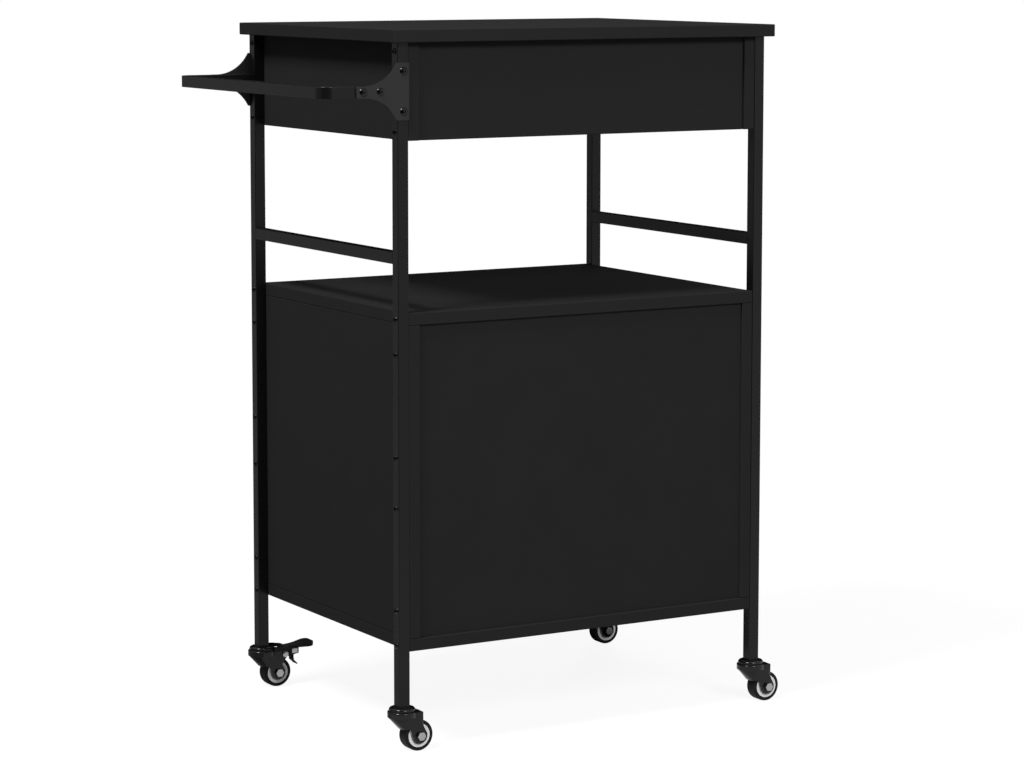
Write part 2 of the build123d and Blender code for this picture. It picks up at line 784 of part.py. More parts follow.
def make_tyre(x, y):
    """Tyre: a band on the rim with rounded shoulders."""
    with BuildPart() as tyre:
        with BuildSketch(wheel_plane(x, y)):
            with Locations((rim_radius + tyre_depth / 2, 0)):
                Rectangle(tyre_depth, wheel_width)
            fillet(vertices().group_by(Axis.X)[-1], tread_rounding)
        revolve(axis=Axis((x - trail, y, axle_z), (0, 1, 0)))
    return tyre


pedal_half = cavity_half_width - pedal_clearance
belly_z = pivot_z + pad_belly_rise
nose_z = pivot_z + pad_nose_rise
nose_radius = (nose_z - belly_z) / 2
shoe_x = pedal_pivot_back + shoe_back
shoe_z = pivot_z - shoe_drop


def make_pedal(x, y):
    """Brake pedal: spoon-shaped tread, stirrup round the swivel head, cheeks on the pin, and the shoe."""
    with BuildPart() as pedal:
        with BuildSketch(along_trail(x, y)):
            with BuildLine():
                Spline((pad_start, pivot_z + pad_start_rise), (pad_middle, pivot_z + pad_middle_rise),
                       (pad_nose, nose_z), tangents=((1, 0), (1, 0)))
                ThreePointArc((pad_nose, nose_z), (pad_nose + nose_radius, belly_z + nose_radius),
                              (pad_nose, belly_z))
                Polyline((pad_nose, belly_z), (pad_heel, belly_z), (pad_start, pivot_z + pad_start_rise))
            make_face()
        extrude(amount=pad_tip_radius, both=True)
        with BuildSketch(Plane.XY.offset(pivot_z)):
            with Locations((x - pad_heel, y)):
                Circle(pad_heel_radius)
            with Locations((x - pad_tip + pad_tip_radius, y)):
                Circle(pad_tip_radius)
            make_hull()
        extrude(amount=pedal_pivot_drop + pad_nose_rise, mode=Mode.INTERSECT)
        block(x - arm_end, x - yoke_start, y - arm_offset, y + arm_offset, belly_z, belly_z + yoke_thickness)
        for cheek in (-1, 1):
            with BuildSketch(along_trail(x, y + cheek * arm_offset)):
                with BuildLine():
                    Polyline((arm_start, pivot_z + arm_low_rise), (arm_end, pivot_z + arm_low_rise),
                             (arm_end, belly_z + yoke_thickness), (arm_peak, pivot_z + arm_peak_rise),
                             (arm_start, pivot_z + arm_start_rise), close=True)
                make_face()
            extrude(amount=cheek * arm_thickness)
            with BuildSketch(along_trail(x, y + cheek * pedal_half)):
                with Locations((pedal_pivot_back, pivot_z)):
                    Circle(pedal_boss_radius)
                with Locations(((yoke_start + cheek_end) / 2, belly_z + shoe_thickness - cheek_depth / 2)):
                    Rectangle(cheek_end - yoke_start, cheek_depth)
                make_hull()
            extrude(amount=-cheek * shoe_thickness)
            with BuildSketch(along_trail(x, y + cheek * (fork_half_width + pedal_clearance))):
                with Locations((pedal_pivot_back, pivot_z)):
                    Circle(pedal_pin_head_radius)
            extrude(amount=cheek * pedal_pin_head)
        with BuildSketch(along_trail(x, y)):
            with BuildLine():
                Polyline((shoe_x, belly_z + shoe_thickness), (shoe_x, shoe_z),
                         (shoe_x + shoe_tail, shoe_z - shoe_tail))
                offset(amount=shoe_thickness / 2, side=Side.BOTH)
            make_face()
        extrude(amount=shoe_width / 2, both=True)
        with BuildSketch(along_trail(x, y)):
            with Locations((pedal_pivot_back, pivot_z)):
                Circle(pedal_pin_radius)
        extrude(amount=fork_half_width + pedal_clearance, both=True)
    return pedal


for side_name, side in sides.items():
    for end_name, end in ends.items():
        place = (side * post_x, end * post_y)
        braked = end_name == "front"
        caster = f"caster_{end_name}_{side_name}"
        save(make_fork(*place, braked), f"{caster}_fork")
        save(make_axle(*place), f"{caster}_axle")
        save(make_core(*place), f"{caster}_wheel_core")
        save(make_tyre(*place), f"{caster}_tyre")
        if braked:
            save(make_pedal(*place), f"{caster}_brake_pedal")
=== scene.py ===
"""Looks of the kitchen cart: its finishes, small fittings, studio and camera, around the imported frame."""
import json
import logging
import math
from collections.abc import Sequence
from dataclasses import dataclass, field
from enum import Enum
from typing import ClassVar

import bpy
import numpy as np
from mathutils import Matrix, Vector


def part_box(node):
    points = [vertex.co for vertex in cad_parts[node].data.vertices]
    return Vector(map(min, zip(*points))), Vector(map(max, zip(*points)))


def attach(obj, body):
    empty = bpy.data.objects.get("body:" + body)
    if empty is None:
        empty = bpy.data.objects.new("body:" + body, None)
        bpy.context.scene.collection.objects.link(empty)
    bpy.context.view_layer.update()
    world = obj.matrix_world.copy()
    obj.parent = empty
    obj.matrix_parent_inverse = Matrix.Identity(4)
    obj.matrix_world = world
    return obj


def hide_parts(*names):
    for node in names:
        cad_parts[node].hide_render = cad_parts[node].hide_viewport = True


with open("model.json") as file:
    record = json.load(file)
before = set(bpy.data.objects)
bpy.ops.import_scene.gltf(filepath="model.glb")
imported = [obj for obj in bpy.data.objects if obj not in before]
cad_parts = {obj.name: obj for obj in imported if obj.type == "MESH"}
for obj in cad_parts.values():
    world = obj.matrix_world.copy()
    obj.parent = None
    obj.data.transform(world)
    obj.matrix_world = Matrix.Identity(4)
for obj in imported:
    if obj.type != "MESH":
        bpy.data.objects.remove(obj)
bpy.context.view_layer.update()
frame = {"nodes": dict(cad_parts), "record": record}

MM = 0.001
log = logging.getLogger("kitchen_cart")

# Numbers of a Mix node's sockets, whose names repeat for each kind of data.
MIX_FACTOR, NUMBER_A, NUMBER_B, COLOUR_A, COLOUR_B, COLOUR_OUT = 0, 2, 3, 6, 7, 2

# From this angle on, an edge of a piece without normals of its own is sharp.
CREASE_DEGREES = 35.0


def linear(code: str) -> tuple[float, float, float, float]:
    """Turns an sRGB hex colour to linear light.

    Args:
        code: the colour as "#rrggbb".

    Returns:
        Red, green, blue and an alpha of 1.
    """
    value = np.array([int(code[i:i + 2], 16) for i in (1, 3, 5)]) / 255
    light = np.where(value <= 0.04045, value / 12.92, ((value + 0.055) / 1.055) ** 2.4)
    return (*light.tolist(), 1.0)


def node(tree: bpy.types.NodeTree, kind: str, inputs: dict | None = None,
         **settings: object) -> bpy.types.Node:
    """Adds one shader node with its settings and links.

    Args:
        tree: the node tree that gets it.
        kind: the node's type.
        inputs: values or other nodes' output sockets, by the name or number of this node's socket.
        settings: properties of the node.

    Returns:
        The node.
    """
    made = tree.nodes.new(kind)
    for key, value in settings.items():
        setattr(made, key, value)
    for key, value in (inputs or {}).items():
        if isinstance(value, bpy.types.NodeSocket):
            tree.links.new(value, made.inputs[key])
        else:
            made.inputs[key].default_value = value
    return made


class Relief(Enum):
    """How a finish's fine relief runs: its size along X, Y and Z as multiples of the grain."""

    PEBBLE = (1.0, 1.0, 1.0)
    DRAWN_ALONG_Y = (1.0, 40.0, 1.0)
    DRAWN_ALONG_Z = (1.0, 1.0, 25.0)


@dataclass(frozen=True)
class Finish:
    """A surface finish: two near colours in slow clouds, and a fine relief that also sways the roughness."""

    CLOUD_DETAIL: ClassVar[float] = 3.0
    GRAIN_DETAIL: ClassVar[float] = 2.0
    GRAIN_SPAN: ClassVar[tuple[float, float]] = (0.3, 0.7)
    BUMP_STRENGTH: ClassVar[float] = 0.6

    name: str
    colour: str
    cloud: str
    cloud_mm: float
    grain_mm: float
    relief_mm: float
    roughness: float
    sway: float
    specular: float = 0.5
    metallic: float = 0.0
    relief: Relief = Relief.PEBBLE

    def material(self) -> bpy.types.Material:
        """Builds the finish.

        Returns:
            A material on Object coordinates, with its pattern sizes in real millimetres.
        """
        made = bpy.data.materials.new(self.name)
        made.use_nodes = True
        tree = made.node_tree
        tree.nodes.clear()
        place = node(tree, "ShaderNodeTexCoord").outputs["Object"]
        clouds = node(tree, "ShaderNodeTexNoise",
                      {"Vector": place, "Scale": 1 / (self.cloud_mm * MM), "Detail": self.CLOUD_DETAIL})
        colour = node(tree, "ShaderNodeMix",
                      {MIX_FACTOR: clouds.outputs["Fac"], COLOUR_A: linear(self.colour),
                       COLOUR_B: linear(self.cloud)}, data_type="RGBA")
        turns = [1 / (self.grain_mm * MM * size) for size in self.relief.value]
        fine = node(tree, "ShaderNodeMapping", {"Vector": place, "Scale": turns})
        grain = node(tree, "ShaderNodeTexNoise",
                     {"Vector": fine.outputs["Vector"], "Scale": 1.0, "Detail": self.GRAIN_DETAIL})
        height = grain.outputs["Fac"]
        rough = node(tree, "ShaderNodeMapRange",
                     {"Value": height, "From Min": self.GRAIN_SPAN[0], "From Max": self.GRAIN_SPAN[1],
                      "To Min": self.roughness - self.sway, "To Max": self.roughness + self.sway})
        bump = node(tree, "ShaderNodeBump",
                    {"Height": height, "Strength": self.BUMP_STRENGTH, "Distance": self.relief_mm * MM})
        shader = node(tree, "ShaderNodeBsdfPrincipled",
                      {"Base Color": colour.outputs[COLOUR_OUT], "Roughness": rough.outputs["Result"],
                       "Normal": bump.outputs["Normal"], "Specular IOR Level": self.specular,
                       "Metallic": self.metallic})
        node(tree, "ShaderNodeOutputMaterial", {"Surface": shader.outputs["BSDF"]})
        return made


# The finish of each of the record's material slots. Grain that is finer than about a millimetre is drawn at a
# millimetre or more, because it would not show.
FINISHES: dict[str, Finish] = {
    # Melamine foil pressed on particle board: dull, faintly pebbled, even in colour.
    "black_board": Finish(
        "black_melamine_foil", "#242424", "#222222", cloud_mm=90, grain_mm=1.2, relief_mm=0.02,
        roughness=0.85, sway=0.05, specular=0.004),
    # Painted hardboard: dull, with a slightly coarser surface than the boards.
    "hardboard": Finish(
        "painted_hardboard", "#242424", "#212121", cloud_mm=60, grain_mm=1.8, relief_mm=0.03,
        roughness=0.88, sway=0.05, specular=0.004),
    # Powder coat on steel tube: satin with an orange peel, dark itself and bright only by what it mirrors.
    "frame_steel": Finish(
        "black_powder_coat", "#0c0c0c", "#0f0f0f", cloud_mm=70, grain_mm=1.5, relief_mm=0.015,
        roughness=0.27, sway=0.04, specular=0.18),
    "handle_steel": Finish(
        "black_powder_coat_on_handles", "#0c0c0c", "#0f0f0f", cloud_mm=40, grain_mm=1.2, relief_mm=0.012,
        roughness=0.27, sway=0.04, specular=0.18),
    # Stoved enamel on the pressed caster parts: glossier than the frame.
    "caster_steel": Finish(
        "stoved_black_enamel", "#0e0e0e", "#111111", cloud_mm=20, grain_mm=1.2, relief_mm=0.004,
        roughness=0.13, sway=0.02, specular=0.24),
    # Enamel on the pedals, worn dull where feet press them.
    "brake_steel": Finish(
        "worn_enamel_on_pedals", "#1a1a1a", "#141414", cloud_mm=15, grain_mm=1.2, relief_mm=0.02,
        roughness=0.45, sway=0.06, specular=0.1),
    # Black oxide on screws: near black, shiny enough for sharp highlights.
    "screw_steel": Finish(
        "black_oxide_screws", "#050505", "#070707", cloud_mm=6, grain_mm=1.0, relief_mm=0.003,
        roughness=0.12, sway=0.03, specular=0.22),
    # Bright zinc plate: metal, with fine marks along the way that it was drawn.
    "zinc_steel": Finish(
        "bright_zinc_plate", "#a4a4a4", "#949494", cloud_mm=12, grain_mm=1.0, relief_mm=0.002,
        roughness=0.27, sway=0.02, specular=0.5, metallic=1.0, relief=Relief.DRAWN_ALONG_Y),
    # Light grey nylon moulding of the wheels.
    "wheel_plastic": Finish(
        "light_grey_nylon", "#dcdddd", "#d0d2d2", cloud_mm=8, grain_mm=1.0, relief_mm=0.01,
        roughness=0.42, sway=0.05, specular=0.4),
    # Rubber of the tyres: dull and fine-pored.
    "tyre_rubber": Finish(
        "black_tyre_rubber", "#1a1a1a", "#151515", cloud_mm=9, grain_mm=1.0, relief_mm=0.03,
        roughness=0.66, sway=0.08, specular=0.1),
    # Black moulded plastic.
    "black_plastic": Finish(
        "black_abs_moulding", "#181818", "#141414", cloud_mm=20, grain_mm=1.0, relief_mm=0.015,
        roughness=0.45, sway=0.05, specular=0.35),
    # Plain beech with its grain along the dowel.
    "dowel_wood": Finish(
        "plain_beech", "#c69c6b", "#a97d4e", cloud_mm=5, grain_mm=1.0, relief_mm=0.05,
        roughness=0.6, sway=0.08, specular=0.3, relief=Relief.DRAWN_ALONG_Z),
}

# Nodes whose finish differs from the rest of their slot.
NODE_FINISHES: dict[str, Finish] = {
    # The same black powder coat on the flat bracket plates, its colour painted lighter to stand in for the
    # brighter light that the plates mirror.
    "handle_brackets": Finish(
        "powder_coat_painted_lighter_on_plate", "#202020", "#232323", cloud_mm=40, grain_mm=1.2, relief_mm=0.012,
        roughness=0.3, sway=0.04, specular=0.2),
}


@dataclass
class Surface:
    """Points in metres, faces as rows of point numbers, and the points' normals where they are known."""

    points: np.ndarray
    faces: list[list[int]]
    normals: np.ndarray | None = None


def grid_faces(rows: int, columns: int, closed: bool = True) -> np.ndarray:
    """Quads between the neighbours of a grid of points.

    Args:
        rows: number of rows.
        columns: number of points in a row.
        closed: whether the last column joins the first.

    Returns:
        One row of four point numbers for each quad.
    """
    start = np.arange(rows - 1)[:, None] * columns
    left = np.arange(columns if closed else columns - 1)[None, :]
    right = (left + 1) % columns
    corners = [start + left, start + right, start + columns + right, start + columns + left]
    return np.stack(corners, axis=-1).reshape(-1, 4)


def weld(points: np.ndarray, faces: Sequence[Sequence[int]]) -> Surface:
    """Joins points that coincide, and drops the edges and faces that this closes up.

    Args:
        points: the points, one row each.
        faces: rows of point numbers.

    Returns:
        The welded surface.
    """
    kept, number = np.unique(np.round(points, 7), axis=0, return_inverse=True)
    number = number.reshape(-1)
    slim = [list(dict.fromkeys(number[list(face)].tolist())) for face in faces]
    return Surface(kept, [face for face in slim if len(face) > 2])


def join(parts: Sequence[Surface]) -> Surface:
    """Puts surfaces together as one.

    Args:
        parts: the surfaces.

    Returns:
        One surface, its parts not connected.
    """
    firsts = np.cumsum([0] + [len(part.points) for part in parts[:-1]]).tolist()
    faces = [[number + first for number in face] for part, first in zip(parts, firsts) for face in part.faces]
    return Surface(np.concatenate([part.points for part in parts]), faces)


def repeat(shape: Surface, origins: np.ndarray, bases: np.ndarray) -> Surface:
    """Copies a shape to several places: each copy is the shape's points times its axes, plus its origin.

    Args:
        shape: the shape at the origin.
        origins: one point for each copy.
        bases: for each copy, the directions that the shape's X, Y and Z take, as rows.

    Returns:
        All the copies as one surface.
    """
    points = np.einsum("pk,nkj->npj", shape.points, bases) + origins[:, None]
    return join([Surface(copy, shape.faces) for copy in points])


def eased_box(low: Sequence[float], high: Sequence[float], ease: float, steps: int = 3) -> Surface:
    """A box with rounded edges.

    Each point has a direction, and is the box's inner corner on that side plus the easing along the direction.

    Args:
        low: lowest corner.
        high: highest corner.
        ease: radius of the edges.
        steps: segments of a quarter turn.

    Returns:
        The closed box with exact normals.
    """
    quarter = np.linspace(0, math.pi / 2, steps + 1)
    around = np.concatenate([quarter + turn * math.pi / 2 for turn in range(4)])
    lift = np.concatenate([quarter - math.pi / 2, quarter])
    around, lift = np.meshgrid(around, lift)
    level = np.cos(lift)
    direction = np.stack([level * np.cos(around), level * np.sin(around), np.sin(lift)], axis=-1)
    columns = 4 * (steps + 1)
    rows = 2 * (steps + 1)
    side = np.ones((rows, columns, 3))
    side[..., 0] = np.repeat([1, -1, -1, 1], steps + 1)
    side[..., 1] = np.repeat([1, 1, -1, -1], steps + 1)
    side[..., 2] = np.repeat([-1, 1], steps + 1)[:, None]
    low, high = np.array(low), np.array(high)
    middle, core = (low + high) / 2, (high - low) / 2 - ease
    points = (middle + side * core + ease * direction).reshape(-1, 3)
    corners = np.arange(4) * (steps + 1)
    faces = grid_faces(rows, columns).tolist()
    faces += [corners[::-1].tolist(), (corners + (rows - 1) * columns).tolist()]
    made = weld(points, faces)
    outward = made.points - np.clip(made.points, middle - core, middle + core)
    made.normals = outward / np.linalg.norm(outward, axis=1, keepdims=True)
    return made


def lathe(profile: Sequence[tuple[float, float]], steps: int, reach: np.ndarray | None = None) -> Surface:
    """Turns a profile about Z: each row is a circle of its radius at its height, drawn in where reach says so.

    Args:
        profile: radius and height of each row, from the lowest to the highest along the outside.
        steps: points round the axis.
        reach: for each row and step, the share of the radius that is used.

    Returns:
        The surface, welded where a radius is nought.
    """
    turn = np.linspace(0, 2 * math.pi, steps, endpoint=False)
    radius, height = np.array(profile).T
    radius = radius[:, None] * (np.ones((1, steps)) if reach is None else reach)
    height = np.repeat(height[:, None], steps, axis=1)
    points = np.stack([radius * np.cos(turn), radius * np.sin(turn), height], axis=-1)
    return weld(points.reshape(-1, 3), grid_faces(len(profile), steps).tolist())


def sweep(path: np.ndarray, section: np.ndarray, across: Sequence[float]) -> Surface:
    """Carries a section along a path that lies in a plane: path point, plus side and height of the section.

    Args:
        path: points of the path.
        section: points of the closed section, as side and height.
        across: the direction that stands on the path's plane, along which the height runs.

    Returns:
        The swept tube with flat ends.
    """
    across = np.array(across, float)
    along = np.gradient(path, axis=0)
    along /= np.linalg.norm(along, axis=1, keepdims=True)
    side = np.cross(across, along)
    points = path[:, None] + section[None, :, :1] * side[:, None] + section[None, :, 1:] * across
    count = len(section)
    faces = grid_faces(len(path), count).tolist()
    faces += [list(range(count))[::-1], list(range((len(path) - 1) * count, len(path) * count))]
    return weld(points.reshape(-1, 3), faces)


def rounded_path(corners: Sequence[Sequence[float]], radius: float, steps: int = 8) -> np.ndarray:
    """A path of straight runs with its inner corners rounded by quadratic arcs.

    Args:
        corners: the path's corners.
        radius: how far before and after a corner its arc starts and ends.
        steps: points of an arc.

    Returns:
        The path's points.
    """
    points = np.array(corners, float)
    share = np.linspace(0, 1, steps)[:, None]
    runs = [points[:1]]
    for before, corner, after in zip(points, points[1:], points[2:]):
        start = corner + radius * (before - corner) / np.linalg.norm(before - corner)
        end = corner + radius * (after - corner) / np.linalg.norm(after - corner)
        runs.append((1 - share) ** 2 * start + 2 * share * (1 - share) * corner + share ** 2 * end)
    return np.concatenate(runs + [points[-1:]])


def rounded_square(side: float, radius: float, steps: int = 4) -> np.ndarray:
    """A square section with round corners: the inner corner of each quadrant plus an arc.

    Args:
        side: width and height.
        radius: radius of the corners.
        steps: segments of a corner.

    Returns:
        The section's points, once round.
    """
    quarter = np.linspace(0, math.pi / 2, steps + 1)
    turn = np.concatenate([quarter + k * math.pi / 2 for k in range(4)])
    inner = np.repeat(np.array([[1, 1], [-1, 1], [-1, -1], [1, -1]]) * (side / 2 - radius), steps + 1, axis=0)
    return inner + radius * np.stack([np.cos(turn), np.sin(turn)], axis=-1)


class Drive(Enum):
    """The recess in a screw's head, with its half width as a share of the head's radius."""

    HEXAGON = 0.32
    CROSS = 0.14


# Shares of a screw head's radius: how far a cross reaches, where the dome ends at the recess, and how far the
# rim sinks into the seat.
CROSS_REACH, DOME_END, RIM_SINK = 0.5, 0.62, 0.02
# Keeps the width of a cross's arm over the sine of the turn from growing without end.
LEAST_SINE = 0.05
# Shares of the head's height: the recess's edge, the foot of its wall, and the middle of its floor.
RECESS_EDGE, RECESS_FOOT, RECESS_MIDDLE = 0.93, 0.45, 0.4
DOME_ROWS = 7


def domed_head(radius: float, height: float, drive: Drive, steps: int = 48) -> Surface:
    """A domed screw head on Z = 0: a spherical cap round a recess, whose edge is a polar hexagon or cross.

    Args:
        radius: radius of the head.
        height: height of the dome.
        drive: kind of recess.
        steps: points round the head.

    Returns:
        The head, open below.
    """
    ball = (radius ** 2 + height ** 2) / (2 * height)
    turn = np.linspace(0, 2 * math.pi, steps, endpoint=False)
    width = drive.value * radius
    if drive is Drive.HEXAGON:
        edge = width / np.cos((turn % (math.pi / 3)) - math.pi / 6)
    else:
        sine = np.minimum(abs(np.cos(turn)), abs(np.sin(turn)))
        edge = np.minimum(CROSS_REACH * radius, width / np.maximum(sine, LEAST_SINE))
    outer = np.linspace(radius, DOME_END * radius, DOME_ROWS)
    rings = [(r, math.sqrt(ball ** 2 - r ** 2) - (ball - height)) for r in outer]
    recess = [(1, RECESS_EDGE * height), (1, RECESS_FOOT * height), (0, RECESS_MIDDLE * height)]
    profile = [(radius, -RIM_SINK * radius)] + rings + recess
    reach = np.ones((len(profile), steps))
    reach[-3:-1] = edge
    return lathe(profile, steps, reach)


@dataclass
class Cart:
    """The dressed cart: it knows each node's body and finish, and fits new pieces to them."""

    materials: dict[str, bpy.types.Material] = field(init=False)
    slot_of: dict[str, str] = field(init=False)
    body_of: dict[str, str] = field(init=False)

    def __post_init__(self) -> None:
        """Makes the finishes, and reads which node has which slot and body."""
        record = frame["record"]
        self.materials = {slot: finish.material() for slot, finish in FINISHES.items()}
        self.slot_of = {part["node"]: part["material_slot"] for part in record["subparts"]}
        self.body_of = {name: body for body, names in record["behaviour"]["bodies"].items() for name in names}

    def dress_nodes(self) -> None:
        """Gives every node of the frame its finish."""
        for name, thing in frame["nodes"].items():
            thing.data.materials.clear()
            special = NODE_FINISHES.get(name)
            thing.data.materials.append(special.material() if special else self.materials[self.slot_of[name]])
        log.info("dressed %d nodes", len(frame["nodes"]))

    def fit(self, name: str, shape: Surface, carrier: str, slot: str,
            stands_for: Sequence[str] = ()) -> None:
        """Makes a piece, finishes it and lets it ride.

        Args:
            name: the piece's name.
            shape: its surface.
            carrier: a node of the body that carries it.
            slot: the material slot of its finish.
            stands_for: the nodes that it replaces.
        """
        mesh = bpy.data.meshes.new(name)
        mesh.from_pydata(shape.points.tolist(), [], shape.faces)
        mesh.shade_smooth()
        if shape.normals is None:
            mesh.set_sharp_from_angle(angle=math.radians(CREASE_DEGREES))
        else:
            mesh.normals_split_custom_set_from_vertices(shape.normals.tolist())
        mesh.materials.append(self.materials[slot])
        piece = bpy.data.objects.new(name, mesh)
        bpy.context.scene.collection.objects.link(piece)
        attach(piece, self.body_of[carrier])
        if stands_for:
            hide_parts(*stands_for)
        log.info("%s: %d faces", name, len(mesh.polygons))


@dataclass
class Boards:
    """The boards, with the edges that banding leaves slightly round."""

    ease: float = 1.2 * MM
    names: tuple[str, ...] = (
        "worktop", "middle_shelf", "cabinet_bottom", "inner_shelf", "cabinet_back", "drawer_box_back",
        "drawer_box_side_left", "drawer_box_side_right", "cabinet_side_left", "cabinet_side_right",
        "door_left", "door_right", "drawer_front", "drawer_back", "drawer_bottom", "drawer_side_left",
        "drawer_side_right")

    def build(self, cart: Cart) -> None:
        """Makes one eased box in the place of each board.

        Args:
            cart: the cart that gets them.
        """
        for name in self.names:
            low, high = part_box(name)
            cart.fit(f"{name}_board", eased_box(low, high, self.ease), name, cart.slot_of[name], [name])


@dataclass
class Fasteners:
    """Screws on the posts and bolts on the brackets, with domed heads and a recess for the key."""

    screw_radius: float = 4.2 * MM
    screw_height: float = 2.4 * MM
    box_inset: float = 11.0 * MM
    outer_inset: float = 36.5 * MM
    inner_inset: float = 166.5 * MM
    bolt_radius: float = 5.3 * MM
    bolt_height: float = 2.8 * MM
    bolt_pitch: float = 50.0 * MM
    stem_first: float = 24.9 * MM
    stem_pitch: float = 23.8 * MM

    def screw_heights(self) -> list[float]:
        """Works out the heights of a post's screws from the boards that they hold.

        Returns:
            The heights, from the worktop down.
        """
        worktop, box, shelf, bottom = [
            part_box(name) for name in ("worktop", "drawer_box_side_left", "middle_shelf", "cabinet_bottom")]
        shelf_low, bottom_high = shelf[0].z, bottom[1].z
        return [worktop[0].z - self.box_inset, box[0].z + self.box_inset, (shelf_low + shelf[1].z) / 2,
                shelf_low - self.outer_inset, shelf_low - self.inner_inset, bottom_high + self.inner_inset,
                bottom_high + self.outer_inset, (bottom[0].z + bottom_high) / 2]

    def build_screws(self, cart: Cart) -> None:
        """Makes the screw heads on the outer faces of the posts.

        Args:
            cart: the cart that gets them.
        """
        origins = []
        for side_name, side in (("left", -1), ("right", 1)):
            for end_name in ("front", "back"):
                low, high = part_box(f"post_{end_name}_{side_name}")
                outer = high.x if side > 0 else low.x
                origins += [(outer, (low.y + high.y) / 2, z) for z in self.screw_heights()]
        bases = [[(0, math.copysign(1, x), 0), (0, 0, 1), (math.copysign(1, x), 0, 0)] for x, _, _ in origins]
        head = domed_head(self.screw_radius, self.screw_height, Drive.CROSS)
        heads = repeat(head, np.array(origins), np.array(bases, float))
        cart.fit("post_screw_heads", heads, "post_screws", "screw_steel", ["post_screws"])

    def build_bolts(self, cart: Cart) -> None:
        """Makes the bolt heads on the bracket plates: two on the post and two on the handle's leg.

        Args:
            cart: the cart that gets them.
        """
        post_low, post_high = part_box("post_back_right")
        bar_low, bar_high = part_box("push_handle")
        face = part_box("handle_brackets")[1].y
        middle, height = (post_low.x + post_high.x) / 2, (bar_low.z + bar_high.z) / 2
        stem = post_high.x + self.stem_first
        spots = [(middle, height - self.bolt_pitch / 2), (middle, height + self.bolt_pitch / 2),
                 (stem, height), (stem + self.stem_pitch, height)]
        origins = [(x, end * face, z) for end in (-1, 1) for x, z in spots]
        bases = [[(-math.copysign(1, y), 0, 0), (0, 0, 1), (0, math.copysign(1, y), 0)]
                 for _, y, _ in origins]
        head = domed_head(self.bolt_radius, self.bolt_height, Drive.HEXAGON)
        heads = repeat(head, np.array(origins), np.array(bases, float))
        cart.fit("handle_bolt_heads", heads, "handle_bolts", "screw_steel", ["handle_bolts"])

    def build(self, cart: Cart) -> None:
        """Makes all the heads.

        Args:
            cart: the cart that gets them.
        """
        self.build_screws(cart)
        self.build_bolts(cart)


@dataclass
class BowHandles:
    """The three bow handles on the fronts, bent from square bar with soft edges."""

    bar: float = 8.0 * MM
    edge: float = 1.4 * MM
    bend: float = 7.0 * MM
    names: tuple[str, ...] = ("drawer_handle", "door_left_handle", "door_right_handle")

    def build(self, cart: Cart) -> None:
        """Makes each handle along the longest side of its node's box.

        Args:
            cart: the cart that gets them.
        """
        section = rounded_square(self.bar, self.edge)
        for name in self.names:
            low, high = (np.array(corner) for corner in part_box(name))
            middle, half = (low + high) / 2, self.bar / 2
            long = int(np.argmax(high - low))
            corners = np.tile(middle, (4, 1))
            corners[:, 1] = [high[1], low[1] + half, low[1] + half, high[1]]
            corners[:, long] = [low[long] + half, low[long] + half, high[long] - half, high[long] - half]
            across = np.eye(3)[({0, 2} - {long}).pop()]
            bow = sweep(rounded_path(corners, self.bend), section, across)
            cart.fit(f"{name}_bow", bow, name, cart.slot_of[name], [name])


